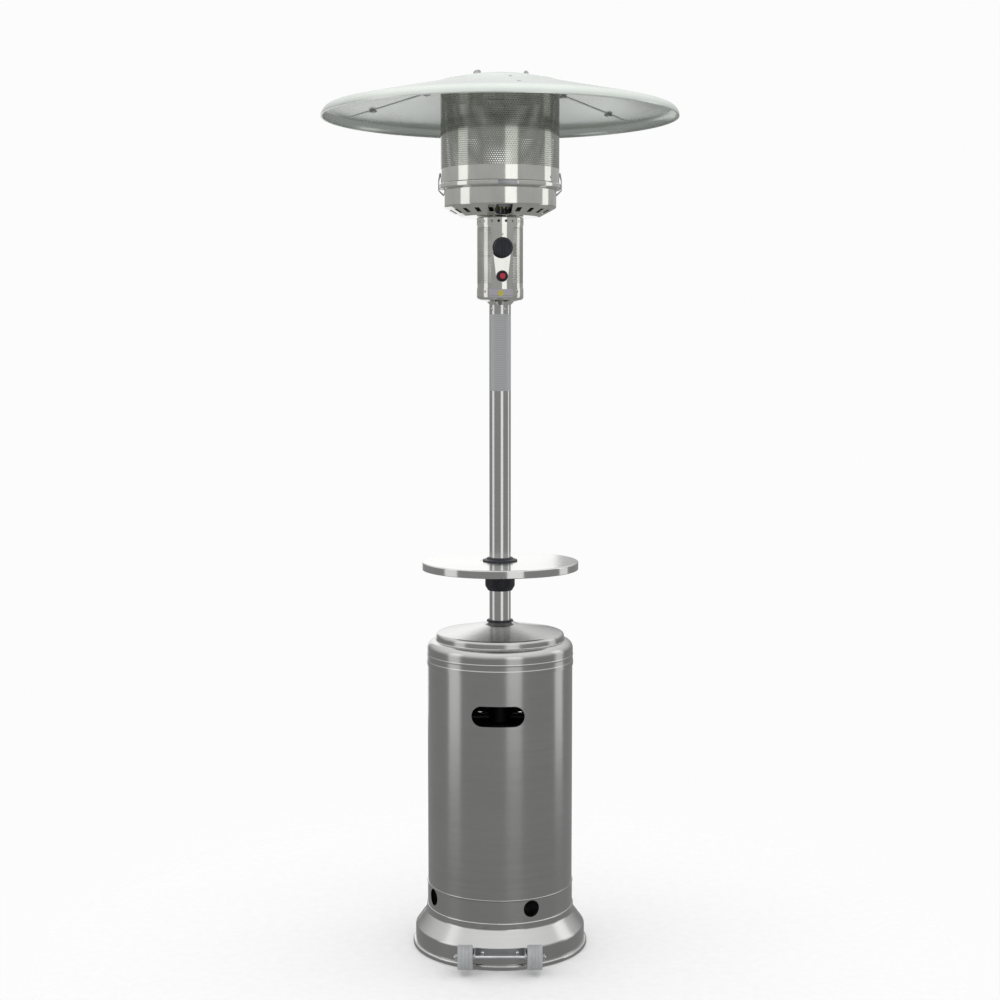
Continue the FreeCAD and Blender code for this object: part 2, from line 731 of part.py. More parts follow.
def control_parts(screws):
    """The control housing and what it holds."""
    body, spindle = knob()
    return {
        "control_cup": drilled(control_cup(), screws),
        "head_spigot": head_spigot(),
        "control_shell": drilled(control_shell(), screws),
        "control_panel": drilled(control_panel(), screws),
        "control_collar": control_collar(),
        "valve_body": valve_body(),
        "valve_inlet": valve_inlet(),
        "valve_bracket": valve_bracket(),
        "orifice": orifice(),
        "push_collar": push_collar(),
        "knob": body.cut(spindle),
        "spindle": spindle,
        "igniter_bezel": igniter_bezel(),
        "piezo_igniter": piezo_igniter(),
        "igniter_button": igniter_button(),
        "tilt_switch": box((24, -8, KNOB_Z - 17), (40, 8, KNOB_Z + 13)),
    }


# ---------------------------------------------------------------- burner and emitter screen

def burner_bowl():
    """The housing under the emitter: a slotted cone, a band and a flange."""
    bowl = spun_sheet([(20, BOWL_BOTTOM, 0), (BOWL_BOTTOM_R, BOWL_BOTTOM, 4), (BOWL_R, BOWL_CORNER_Z, 5),
                       (BOWL_R, RING_BOTTOM - 3, 2), (RING_R - 1.6, RING_BOTTOM - 1, 0)], BOWL_SHEET)
    rise = BOWL_CORNER_Z - BOWL_BOTTOM
    run = BOWL_R - BOWL_BOTTOM_R
    facing = Vector(0, -rise, -run).normalize()
    middle = Vector(0, -(BOWL_R + BOWL_BOTTOM_R) / 2, (BOWL_CORNER_Z + BOWL_BOTTOM) / 2)
    length = math.hypot(rise, run) * SLOT_SHARE
    slot = obround(length, VENT_SLOT_WIDTH, 16)
    slot.rotate(ORIGIN, UP, 90)
    slot.translate(Vector(0, 0, -8))
    slot.rotate(ORIGIN, Vector(1, 0, 0), 180 - math.degrees(UP.getAngle(facing)))
    slot.translate(middle)
    window = box((-WINDOW_WIDTH / 2, -BOWL_R + 2, BOWL_BOTTOM + 2),
                 (WINDOW_WIDTH / 2, -BOWL_BOTTOM_R - 1, BOWL_CORNER_Z - 1))
    bowl = bowl.cut(window)
    for i in range(1, SLOT_COUNT):
        bowl = bowl.cut(turned(slot, i * 360 / SLOT_COUNT))
    return bowl


def burner_tube():
    """The venturi tube with its air holes, from the orifice to the burner."""
    low = KNOB_Z + 35
    tube = spun_sheet([(9, low, 0), (9, low + 30, 20), (14, low + 60, 20), (14, 1905, 0)], 1.0)
    for i in range(4):
        tube = tube.cut(Part.makeCylinder(3.5, 40, Vector(0, 0, low + 10), outward(45 + 90 * i)))
    return tube


def burner_head():
    """The burner pan that spreads the gas under the emitter screen."""
    return spun_sheet([(14, 1896, 0), (30, 1896, 6), (118, 1925, 5), (118, 1937, 0)], 1.2)


def burner_plate():
    """The slotted plate on the burner pan where the flame burns."""
    plate = spun([(0, 1937, 0), (118, 1937, 0), (118, 1938.5, 0), (60, 1944, 30), (0, 1946, 0)])
    port = box((-1.5, -108, 1930), (1.5, -70, 1950))
    for i in range(36):
        plate = plate.cut(turned(port, i * 10))
    return plate


def pilot_parts():
    """Pilot, electrode and thermocouple on their bracket, behind the window in the cone."""
    bracket = joined([box((-16, -104, 1868), (16, -102.5, 1896)), box((-16, -104, 1868), (16, -84, 1869.5)),
                      box((-16, -104, 1894.5), (16, -84, 1896))])
    holes = [Part.makeCylinder(radius, 40, Vector(x, -93, 1860), UP) for x, radius in
             ((-9, 3.2), (0, 2.4), (9, 2.0))]
    for hole in holes:
        bracket = bracket.cut(hole)
    hood = ring(2.0, 3.2, 1862, 1912)
    hood.translate(Vector(-9, -93, 0))
    probe = joined([Part.makeCylinder(2.0, 46, Vector(9, -93, 1862), UP),
                    Part.makeCylinder(1.4, 8, Vector(9, -93, 1908), UP)])
    ceramic = Part.makeCylinder(2.4, 34, Vector(0, -93, 1864), UP)
    wire = Part.makeCylinder(0.8, 12, Vector(0, -93, 1898), UP)
    return {
        "pilot_bracket": bracket,
        "pilot_burner": hood,
        "thermocouple": probe,
        "igniter_electrode": joined([ceramic, wire]),
    }


def clamp_ring():
    """The band that clamps the emitter screen to the burner bowl."""
    inner = RING_R - 1.6
    crown = RING_R + 2.2
    return spun([(inner, RING_BOTTOM - 1, 0), (crown, RING_BOTTOM - 1, 3.4), (crown, RING_TOP, 3.4),
                 (inner, RING_TOP, 0)])


def ring_clips():
    """Bent strips that hook the screen and the bowl together at each side."""
    inner, outer = RING_R + 2.3, RING_R + 4.4
    face = Part.Face(outline([(SCREEN_R, 1957, 0), (SCREEN_R + 3, 1957, 1), (outer, 1940, 12), (outer, 1914, 3),
                              (BOWL_R + 2.2, 1902, 2), (BOWL_R, 1902, 0), (BOWL_R, 1905.5, 0),
                              (inner, 1915.5, 1), (inner, 1938, 8), (SCREEN_R, 1951, 0)]))
    strip = face.extrude(Vector(0, 14, 0))
    strip.translate(Vector(0, -7, 0))
    strip = strip.cut(drum(SCREEN_R, 1930.5, 2000)).cut(drum(BOWL_R, 1890, 1915))
    strip.rotate(ORIGIN, UP, -90)
    return [turned(strip, azimuth) for azimuth in (-96, 84)]


def ring_closure():
    """The strap with two ribs that closes the clamp ring at the front."""
    strap = ring(RING_R + 2.3, RING_R + 3.3, RING_BOTTOM + 0.5, RING_TOP - 1)
    ribs = [ring(RING_R + 2.8, RING_R + 4.4, low, low + 3, 0.8) for low in (RING_BOTTOM + 1.5, RING_TOP - 5)]
    sector = wedge(200, RING_BOTTOM - 5, RING_TOP + 5, CLOSURE_HALF_ANGLE)
    return turned(joined([strap] + ribs).common(sector), CLOSURE_AZIMUTH)


def screen_screws():
    """Screws round the top and the foot of the screen."""
    screws = [screw(polar(SCREEN_R, azimuth, 2148), outward(azimuth), 3.4, 1.8, 1.6, 5)
              for azimuth in (-75, -15, 45, 105, 165, 225)]
    screws += [screw(polar(SCREEN_R, azimuth, 1941), outward(azimuth), 3.4, 1.8, 1.6, 5)
               for azimuth in (52, 142, 232)]
    return screws


def screen_cap():
    """The lid on the emitter screen that carries the reflector's studs."""
    return spun_sheet([(SCREEN_R - SCREEN_SHEET, 2140, 0), (SCREEN_R - SCREEN_SHEET, SCREEN_TOP, 3),
                       (0, SCREEN_TOP, 0)], 1.2)


def burner_parts(screws):
    """Burner bowl, burner, pilot, screen and its clamp."""
    foot = RING_BOTTOM - 1 + 1.1
    band = clamp_ring()
    return {
        **pilot_parts(),
        "burner_bowl": burner_bowl(),
        "burner_tube": burner_tube(),
        "burner_head": burner_head(),
        "burner_plate": burner_plate(),
        "clamp_ring": band,
        "ring_clips": group([clip.cut(band) for clip in ring_clips() + [ring_closure()]]),
        "emitter_screen": drilled(ring(SCREEN_R - SCREEN_SHEET, SCREEN_R, foot, SCREEN_TOP - 1), screws),
        "screen_cap": drilled(screen_cap(), screws),
    }


def head_parts():
    """The control housing and the burner with their screws, turned on the post."""
    screws = group(control_screws() + screen_screws())
    parts = {**control_parts(screws), **burner_parts(screws), "head_screws": screws}
    return {name: turned(shape, HEAD_TURN) for name, shape in parts.items()}


# ---------------------------------------------------------------- reflector

def reflector_path():
    """The dish's outer side, from the bottom of its lip to its hub."""
    return [(RIM_R, RIM_BOTTOM, 0), (RIM_R, RIM_CORNER_Z, 23), (DISH_R, DISH_Z, 600),
            (DISH_MIDDLE_R, DISH_MIDDLE_Z, 2000), (DISH_INNER_R, DISH_INNER_Z, 0)]


def dish_slope():
    """The fall of the dish's outer half, in degrees."""
    return math.degrees(math.atan2(DISH_MIDDLE_Z - DISH_Z, DISH_R - DISH_MIDDLE_R))


def dish_height(radius):
    """The height of the dish's outer side at a radius on its outer half."""
    return DISH_Z + (DISH_R - radius) * math.tan(math.radians(dish_slope()))


def under_dish(clearance):
    """The space below the middle of the dish, down to the screen's lid."""
    drop = REFLECTOR_SHEET + clearance
    return spun([(0, 2100, 0), (DISH_MIDDLE_R, 2100, 0), (DISH_MIDDLE_R, DISH_MIDDLE_Z - drop, 0),
                 (DISH_INNER_R, DISH_INNER_Z - drop, 0), (0, DISH_INNER_Z - drop, 0)])


def reflector_dish():
    """The whole dish with its rolled hem."""
    hem = ring(RIM_R - 4, RIM_R, RIM_BOTTOM, RIM_BOTTOM + 4, 1.6)
    return joined([spun_sheet(reflector_path(), REFLECTOR_SHEET), hem])


def reflector_panels():
    """The dish cut into equal panels at its seams."""
    half_angle = 180 / PANEL_COUNT
    sector = reflector_dish().common(wedge(600, 2000, 2300, half_angle))
    return [turned(sector, SEAM_AZIMUTH + half_angle * (2 * i + 1)) for i in range(PANEL_COUNT)]


def reflector_hub():
    """The raised plate that covers the panels' inner ends."""
    edge = dish_height(HUB_R)
    hub = spun_sheet([(HUB_R, edge - 1, 0), (HUB_R - 2, edge + 2.8, 3), (HUB_MIDDLE_R, HUB_MIDDLE_Z, 60),
                      (0, TOTAL_HEIGHT, 0)], 1.2)
    dish = spun([(0, 2080, 0), (RIM_R, 2080, 0)] + reflector_path()[1:] + [(0, DISH_INNER_Z, 0)])
    return hub.cut(dish)


def reflector_studs():
    """Studs from the screen's lid through the hub."""
    low = SCREEN_TOP - 4
    return [Part.makeCylinder(3, STUD_TOP - low, polar(STUD_PITCH_R, azimuth, low), UP)
            for azimuth in STUD_AZIMUTHS]


def reflector_spacers(studs):
    """Tubes that hold the dish above the screen's lid."""
    tubes = [Part.makeCylinder(6, STUD_TOP - SCREEN_TOP, polar(STUD_PITCH_R, azimuth, SCREEN_TOP), UP)
             for azimuth in STUD_AZIMUTHS]
    return group([tube.cut(studs).common(under_dish(0.1)) for tube in tubes])


def wing_nuts(studs, hub):
    """Wing nuts on the studs, seated on the hub."""
    nuts = []
    for azimuth in STUD_AZIMUTHS:
        base = polar(STUD_PITCH_R, azimuth, STUD_TOP - 9.4)
        barrel = Part.makeCylinder(5.5, 5, base, UP)
        wings = [barrel]
        for side in (-1, 1):
            wing = obround(13, 8, 2)
            wing.rotate(ORIGIN, Vector(1, 0, 0), 90)
            wing.rotate(ORIGIN, Vector(0, 1, 0), side * 18)
            wing.translate(Vector(side * 8, 1, 5))
            wing.rotate(ORIGIN, UP, azimuth)
            wing.translate(base)
            wings.append(wing)
        nuts.append(joined(wings).cut(studs).cut(hub))
    return nuts


def seam_screws():
    """Two screws on each seam of the reflector, head outside and nut inside."""
    screws = []
    slope = math.radians(dish_slope())
    for i in range(PANEL_COUNT):
        azimuth = SEAM_AZIMUTH + i * 360 / PANEL_COUNT
        normal = polar(math.sin(slope), azimuth, math.cos(slope))
        for radius in SEAM_SCREW_RADII:
            at = polar(radius, azimuth, dish_height(radius))
            body = screw(at, normal, 4.5, 2.4, 2, 7)
            nut = placed(hexagon(7, 3), at - normal * 5.2, normal)
            screws.append(joined([body, nut]))
    return screws


def reflector_parts():
    """Panels, hub, studs, spacers, wing nuts and seam screws."""
    studs = group(reflector_studs())
    screws = group(seam_screws())
    hub = drilled(reflector_hub(), studs)
    parts = {
        "reflector_hub": hub,
        "reflector_studs": studs,
        "reflector_spacers": reflector_spacers(studs),
        "wing_nuts": group(wing_nuts(studs, hub)),
        "seam_screws": screws,
    }
    for number, panel in enumerate(reflector_panels(), 1):
        parts[f"reflector_panel_{number}"] = drilled(drilled(panel, studs), screws)
    return parts


# ---------------------------------------------------------------- the whole heater

def build():
    """Every node of the heater by name."""
    parts = {}
    for section in (stand_parts, wheel_parts, housing_and_table_parts, head_parts, reflector_parts):
        parts.update(section())
    for name, fasteners in (("base_pan", "bracket_bolts"), ("head_spigot", "post_screws"),
                            ("screen_cap", "reflector_studs")):
        parts[name] = drilled(parts[name], parts[fasteners])
    return parts


os.makedirs("parts", exist_ok=True)
for name, shape in build().items():
    solids = shape.Solids
    shape = solids[0] if len(solids) == 1 else Part.makeCompound(solids)
    shape.exportStep(f"parts/{name}.step")
    bounds = shape.BoundBox
    print(f"{name:22s} solids {len(solids):2d} valid {shape.isValid()} volume {shape.Volume:12.0f}"
          f" z {bounds.ZMin:8.1f} {bounds.ZMax:8.1f}")
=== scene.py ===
"""The looks of the patio heater, built round its CAD frame.

Metres, +Z up, and the front, with the wheels and the knob, faces -Y.
Azimuths are degrees from the front, positive towards +X.
"""
import math

import bpy
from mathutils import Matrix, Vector


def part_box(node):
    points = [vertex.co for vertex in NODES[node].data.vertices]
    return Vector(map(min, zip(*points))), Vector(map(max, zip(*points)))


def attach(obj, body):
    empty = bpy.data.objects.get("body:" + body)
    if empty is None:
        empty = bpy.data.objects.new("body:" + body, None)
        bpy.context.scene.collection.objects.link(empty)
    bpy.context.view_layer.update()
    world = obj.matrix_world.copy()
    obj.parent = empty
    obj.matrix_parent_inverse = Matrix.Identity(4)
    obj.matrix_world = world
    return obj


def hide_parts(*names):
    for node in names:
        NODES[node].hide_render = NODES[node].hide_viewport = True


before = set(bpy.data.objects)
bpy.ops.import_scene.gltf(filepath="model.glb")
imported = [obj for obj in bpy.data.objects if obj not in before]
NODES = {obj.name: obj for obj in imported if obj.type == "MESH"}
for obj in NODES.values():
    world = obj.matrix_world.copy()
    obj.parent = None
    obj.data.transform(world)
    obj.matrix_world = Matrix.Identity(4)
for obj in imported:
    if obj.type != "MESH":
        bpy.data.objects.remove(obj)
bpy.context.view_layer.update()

MM = 0.001
HEAD_TURN = 6.0                      # the control head is turned a little on the post

SEAM_AZIMUTH = 7.0                   # the reflector's first seam
PANEL_COUNT = 3
DISH_R = 400 * MM                    # the dish falls evenly from its middle to here
DISH_Z = 2121 * MM
DISH_FALL = 0.22
DISH_SHEET = 1.1 * MM
CLIP_RADII = (200 * MM, 352 * MM)

SHEET = 0.8 * MM                     # the two punched sheets
SCREEN_FOOT = 48 * MM                # the plain band below the emitter screen's holes
SCREEN_TOP = 8 * MM                  # and the one above them
SCREEN_PITCH = 6.0 * MM
SCREEN_HOLE_R = 1.85 * MM
CONTROL_R = 57.4 * MM
CONTROL_FOOT = 32 * MM
CONTROL_TOP = 22 * MM
CONTROL_PITCH = 5.0 * MM
CONTROL_HOLE_R = 1.5 * MM
HALF_PANEL = 27.0                    # half the angle that the control panel takes up

KNOB_Z = 1771.5 * MM
KNOB_R = 25.3 * MM
KNOB_DEPTH = 17.5 * MM
KNOB_BACK = 62.5 * MM                # from the post's axis to the back of the knob

WHEEL_BORE_R = 4.06 * MM
GROOVE_PITCH = 8 * MM

POST_R = 27.2 * MM
LABEL_HEIGHTS = (1418 * MM, 1609 * MM)
LABEL_HALF_ANGLE = 68.0
LABEL_RULE_PITCH = 4.5 * MM
LABEL_RULE_REACH = 16 * MM
CUP_R = 58.6 * MM
STICKER_AZIMUTH = 3.0
STICKER_HALF_ANGLE = 30.0
STICKER_Z = 1660 * MM
STICKER_HALF_HEIGHT = 10 * MM
STICKER_DOT_AZIMUTH = 1.7
STICKER_DOT_R = 7 * MM

SHELL_R = 184.3 * MM
HOUSING_SEAM_AZIMUTH = 142.0
HOUSING_SEAM_HALF_ANGLE = 3
HOUSING_SEAM_HEIGHTS = (172 * MM, 722 * MM)
HOUSING_LAP = 0.7 * MM
RIVET_COUNT = 9

LIGHT_HEIGHT = 1.4                   # the middle of each soft light
FLOOR_R = 6.0
FLOOR_FADE = (0.3, 1.5)              # the floor fades out between these distances
CAMERA_PLACE = (0.0, -4.335, 1.5326)
CAMERA_TILT = 84.857                 # degrees up from straight down


# ---------------------------------------------------------------- places

def polar(radius, azimuth, z):
    """The point at a radius, azimuth and height."""
    angle = math.radians(azimuth)
    return (radius * math.sin(angle), -radius * math.cos(angle), z)


def low_z(node):
    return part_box(node)[0].z


def high_z(node):
    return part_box(node)[1].z


def radius_of(node):
    """The outer radius of a node that is round the post's axis."""
    low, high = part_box(node)
    return (high.x - low.x) / 2


def steps(start, end, count):
    """Evenly spaced values from start to end, both included."""
    return [start + (end - start) * i / (count - 1) for i in range(count)]


# ---------------------------------------------------------------- mesh helpers

def rounded(corners, closed=True, arc_steps=5):
    """The points of an outline whose corners (a, b, rounding) are turned into arcs."""
    points = []
    count = len(corners)
    for i, (a, b, rounding) in enumerate(corners):
        here = Vector((a, b))
        inner = closed or 0 < i < count - 1
        if rounding <= 0 or not inner:
            points.append(here)
            continue
        before = (Vector(corners[i - 1][:2]) - here).normalized()
        after = (Vector(corners[(i + 1) % count][:2]) - here).normalized()
        half = before.angle(after) / 2
        cut = rounding / math.tan(half)
        centre = here + (before + after).normalized() * (rounding / math.sin(half))
        start = here + before * cut - centre
        end = here + after * cut - centre
        sweep = start.angle_signed(end)
        for k in range(arc_steps + 1):
            turn = sweep * k / arc_steps
            cosine, sine = math.cos(turn), math.sin(turn)
            spoke = Vector((start.x * cosine + start.y * sine, start.y * cosine - start.x * sine))
            points.append(centre + spoke)
    return points


def make_piece(name, points, faces, materials, body, sharp=32, face_materials=None):
    """A mesh object that rides on a body, smooth but for its sharp edges."""
    mesh = bpy.data.meshes.new(name)
    mesh.from_pydata([tuple(p) for p in points], [], faces)
    for material in materials:
        mesh.materials.append(material)
    if face_materials:
        mesh.polygons.foreach_set("material_index", face_materials)
    mesh.polygons.foreach_set("use_smooth", [True] * len(mesh.polygons))
    mesh.set_sharp_from_angle(angle=math.radians(sharp))
    mesh.update()
    piece = bpy.data.objects.new(name, mesh)
    bpy.context.scene.collection.objects.link(piece)
    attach(piece, body)
    return piece


def lathe(outline, start=0.0, end=360.0, segments=192):
    """Points and faces of a closed outline (radius, height) turned about the post's axis."""
    whole = abs(end - start) >= 360
    columns = segments if whole else segments + 1
    azimuths = [start + (end - start) * i / segments for i in range(columns)]
    points = [polar(r, azimuth, z) for azimuth in azimuths for r, z in outline]
    count = len(outline)
    faces = []
    for i in range(segments):
        here = i * count
        there = ((i + 1) % columns) * count
        for j in range(count):
            k = (j + 1) % count
            faces.append((here + j, there + j, there + k, here + k))
    if not whole:
        faces.append(tuple(range(count))[::-1])
        last = (columns - 1) * count
        faces.append(tuple(range(last, last + count)))
    return points, faces


def merged(parts):
    """Several (points, faces) as one."""
    points, faces = [], []
    for more_points, more_faces in parts:
        shift = len(points)
        points += list(more_points)
        faces += [tuple(i + shift for i in face) for face in more_faces]
    return points, faces


def perforated(radius, thickness, heights, azimuths, pitch, hole_r):
    """A curved sheet with staggered rows of holes between a plain foot and a plain top.

    heights are the sheet's foot, the first and last hole rows' outer edges, and the sheet's top.
    """
    start, end = azimuths
    width = math.radians(end - start) * radius
    cells = round(width / pitch)
    columns = 2 * cells + 1
    rows = round((heights[2] - heights[1]) / (pitch * math.sqrt(3) / 2))
    levels = [heights[0]] + steps(heights[1], heights[2], rows + 1) + [heights[3]]
    angles = steps(start, end, columns)
    half_row = (heights[2] - heights[1]) / rows / 2
    flat, faces, hole_edges = [], [], []
    for z in levels:
        flat += [(angle, z) for angle in angles]

    def at(level, column):
        return level * columns + column

    def quad(level, column):
        return (at(level, column), at(level, column + 1), at(level + 1, column + 1), at(level + 1, column))

    for level in range(len(levels) - 1):
        plain = level in (0, len(levels) - 2)
        first = 0 if plain or level % 2 else 1
        for column in range(columns - 1):
            loose_end = column < first or (column - first) // 2 * 2 + first + 2 > columns - 1
            if plain or loose_end:
                faces.append(quad(level, column))
            elif (column - first) % 2 == 0:
                corners = [at(level, column), at(level, column + 1), at(level, column + 2),
                           at(level + 1, column + 2), at(level + 1, column + 1), at(level + 1, column)]
                base = len(flat)
                for k in range(6):
                    turn = math.radians(-150 + 60 * k)
                    side = math.degrees(hole_r * math.cos(turn) / radius)
                    flat.append((angles[column + 1] + side,
                                 levels[level] + half_row + hole_r * math.sin(turn)))
                for k in range(6):
                    n = (k + 1) % 6
                    faces.append((corners[k], corners[n], base + n, base + k))
                    hole_edges.append((base + n, base + k))
    points = [polar(radius, azimuth, z) for azimuth, z in flat]
    points += [polar(radius - thickness, azimuth, z) for azimuth, z in flat]
    back = len(flat)
    top = len(levels) - 1
    rim = [(at(0, c + 1), at(0, c)) for c in range(columns - 1)]
    rim += [(at(top, c), at(top, c + 1)) for c in range(columns - 1)]
    rim += [(at(r, 0), at(r + 1, 0)) for r in range(top)]
    rim += [(at(r + 1, columns - 1), at(r, columns - 1)) for r in range(top)]
    solid = list(faces)
    solid += [tuple(i + back for i in face)[::-1] for face in faces]
    solid += [(a, b, b + back, a + back) for a, b in rim]
    solid += [(b, a, a + back, b + back)[::-1] for a, b in hole_edges]
    return points, solid


# ---------------------------------------------------------------- shader helpers

def linear(value):
    """A display value from 0 to 255 as linear light."""
    value /= 255
    return value / 12.92 if value <= 0.04045 else ((value + 0.055) / 1.055) ** 2.4


def tone(red, green, blue, gain=1.0):
    """A display colour as linear RGBA, times a gain."""
    return (linear(red) * gain, linear(green) * gain, linear(blue) * gain, 1.0)


class Tree:
    """A node tree with short ways to add and link nodes."""

    def __init__(self, tree):
        self.tree = tree

    def add(self, kind, **settings):
        node = self.tree.nodes.new("ShaderNode" + kind)
        for key, value in settings.items():
            setattr(node, key, value)
        return node

    def link(self, source, target):
        self.tree.links.new(source, target)

    def sum(self, operation, first, second=None):
        """A Math node of two sockets or numbers."""
        node = self.add("Math", operation=operation)
        for socket, value in zip(node.inputs, (first, second)):
            if isinstance(value, (int, float)):
                socket.default_value = value
            elif value is not None:
                self.link(value, socket)
        return node.outputs[0]

    def span(self, value, low, high, to_low=0.0, to_high=1.0):
        """Map a value from one range to another, held at the ends."""
        node = self.add("MapRange")
        self.link(value, node.inputs["Value"])
        ends = (("From Min", low), ("From Max", high), ("To Min", to_low), ("To Max", to_high))
        for name, number in ends:
            node.inputs[name].default_value = number
        return node.outputs["Result"]

    def ramp(self, value, stops):
        """A colour ramp of (position, colour) stops."""
        node = self.add("ValToRGB")
        elements = node.color_ramp.elements
        while len(elements) < len(stops):
            elements.new(0.5)
        for element, (position, colour) in zip(elements, stops):
            element.position = position
            element.color = colour
        self.link(value, node.inputs["Fac"])
        return node.outputs["Color"]

    def mix(self, factor, first, second):
        """Blend two colours, each a socket or a fixed colour."""
        node = self.add("Mix", data_type="RGBA")
        sockets = (node.inputs[0], node.inputs[6], node.inputs[7])
        for socket, value in zip(sockets, (factor, first, second)):
            if isinstance(value, (int, float, tuple)):
                socket.default_value = value
            else:
                self.link(value, socket)
        return node.outputs[2]


class Finish(Tree):
    """A Principled material whose pattern follows the object's own coordinates."""

    def __init__(self, name, metallic=0.0, **constants):
        self.material = bpy.data.materials.new(name)
        self.material.use_nodes = True
        super().__init__(self.material.node_tree)
        self.shader = self.tree.nodes["Principled BSDF"]
        self.shader.inputs["Metallic"].default_value = metallic
        for key, value in constants.items():
            self.shader.inputs[key.replace("_", " ")].default_value = value
        self.place = self.add("TexCoord").outputs["Object"]
        self.bumped = None

    def noise(self, scale, stretch=(1, 1, 1), detail=3.0, roughness=0.55):
        """Noise with a scale in cycles per metre, times the stretch along each axis."""
        mapping = self.add("Mapping")
        mapping.inputs["Scale"].default_value = [scale * s for s in stretch]
        self.link(self.place, mapping.inputs["Vector"])
        node = self.add("TexNoise")
        node.inputs["Scale"].default_value = 1.0
        node.inputs["Detail"].default_value = detail
        node.inputs["Roughness"].default_value = roughness
        self.link(mapping.outputs["Vector"], node.inputs["Vector"])
        return node.outputs["Fac"]

    def axes(self):
        """The object's own coordinates, as outputs named X, Y and Z."""
        node = self.add("SeparateXYZ")
        self.link(self.place, node.inputs[0])
        return node.outputs

    def colour(self, source):
        self.link(source, self.shader.inputs["Base Color"])

    def roughness(self, source):
        self.link(source, self.shader.inputs["Roughness"])

    def bump(self, height, distance, strength=1.0):
        """Add relief on top of any relief already there. The distance is in metres."""
        node = self.add("Bump")
        node.inputs["Strength"].default_value = strength
        node.inputs["Distance"].default_value = distance
        self.link(height, node.inputs["Height"])
        if self.bumped:
            self.link(self.bumped, node.inputs["Normal"])
        self.bumped = node.outputs["Normal"]
        self.link(self.bumped, self.shader.inputs["Normal"])

    def waves(self):
        """The slight waves of thin polished metal."""
        self.bump(self.noise(9, (1, 1, 0.6), detail=1), 0.0004, 0.6)

    def round_tangent(self):
        """Point the tangent round the post's axis, so that gloss stretches across the brush lines."""
        tangent = self.add("Tangent", direction_type="RADIAL", axis="Z")
        self.link(tangent.outputs["Tangent"], self.shader.inputs["Tangent"])


# ---------------------------------------------------------------- materials

ROUND_GRAIN = (0.02, 0.02, 1.0)      # brush lines that run round the post's axis


def brushed(name, dark, bright, gloss):
    """Brushed stainless sheet: fine lines, cloudy wear and a highlight stretched across the grain."""
    finish = Finish(name, metallic=1.0, Anisotropic=0.55, Anisotropic_Rotation=0.25)
    lines = finish.noise(1400, ROUND_GRAIN, detail=4)
    broad = finish.noise(160, ROUND_GRAIN, detail=2)
    clouds = finish.noise(6, detail=3)
    mixed = finish.sum("ADD", finish.sum("MULTIPLY", lines, 0.5), finish.sum("MULTIPLY", broad, 0.2))
    mixed = finish.sum("ADD", mixed, finish.sum("MULTIPLY", clouds, 0.3))
    finish.colour(finish.ramp(mixed, [(0.25, dark), (0.75, bright)]))
    finish.roughness(finish.span(mixed, 0.25, 0.75, gloss[0], gloss[1]))
    finish.bump(lines, 0.00002, 0.2)
    finish.round_tangent()
    return finish.material


def polished(name, dark, bright, gloss):
    """Mirror-polished sheet with faint smears, fine scratches and the slight waves of thin metal."""
    finish = Finish(name, metallic=1.0)
    smears = finish.noise(22, (1, 1, 0.5), detail=4, roughness=0.6)
    scratches = finish.noise(900, (0.05, 0.05, 1.0), detail=2)
    finish.colour(finish.ramp(smears, [(0.3, dark), (0.7, bright)]))
    wear = finish.sum("ADD", finish.sum("MULTIPLY", smears, 0.7), finish.sum("MULTIPLY", scratches, 0.3))
    finish.roughness(finish.span(wear, 0.3, 0.7, gloss[0], gloss[1]))
    finish.waves()
    finish.bump(scratches, 0.00002, 0.2)
    return finish.material


def screen_steel(name):
    """The emitter screen's bright sheet, darker and duller above its plain foot."""
    finish = Finish(name, metallic=1.0)
    smears = finish.noise(22, (1, 1, 0.5), detail=4, roughness=0.6)
    foot = low_z("emitter_screen") + SCREEN_FOOT
    # a darker, duller colour from just above the plain foot upward
    above_foot = finish.span(finish.axes()["Z"], foot - 1 * MM, foot + 2 * MM)
    bright = finish.ramp(smears, [(0.3, tone(214, 214, 208)), (0.7, tone(228, 228, 222))])
    dull = finish.ramp(smears, [(0.3, tone(176, 178, 170)), (0.7, tone(194, 196, 188))])
    finish.colour(finish.mix(above_foot, bright, dull))
    smeared = finish.span(smears, 0.3, 0.7, 0.05, 0.12)
    finish.roughness(finish.sum("ADD", smeared, finish.span(above_foot, 0, 1, 0, 0.03)))
    finish.waves()
    return finish.material


def satin_aluminium(name):
    """The reflector's rolled aluminium: satin, with a fine mottle and dull patches."""
    finish = Finish(name, metallic=0.6)
    mottle = finish.noise(90, detail=3)
    clouds = finish.noise(5, detail=4)
    blend = finish.sum("ADD", finish.sum("MULTIPLY", mottle, 0.15), finish.sum("MULTIPLY", clouds, 0.85))
    finish.colour(finish.ramp(blend, [(0.3, tone(208, 214, 208)), (0.7, tone(222, 227, 222))]))
    finish.roughness(finish.span(blend, 0.3, 0.7, 0.20, 0.32))
    finish.bump(finish.noise(4, detail=1), 0.0008, 0.3)
    return finish.material


def plated(name, dark, bright, gloss=(0.28, 0.45)):
    """Zinc or nickel plate with a fine crystal mottle."""
    finish = Finish(name, metallic=1.0)
    mottle = finish.noise(420, detail=4)
    clouds = finish.noise(35, detail=3)
    blend = finish.sum("ADD", finish.sum("MULTIPLY", mottle, 0.5), finish.sum("MULTIPLY", clouds, 0.5))
    finish.colour(finish.ramp(blend, [(0.3, dark), (0.7, bright)]))
    finish.roughness(finish.span(blend, 0.3, 0.7, gloss[0], gloss[1]))
    finish.bump(mottle, 0.00004, 0.4)
    return finish.material


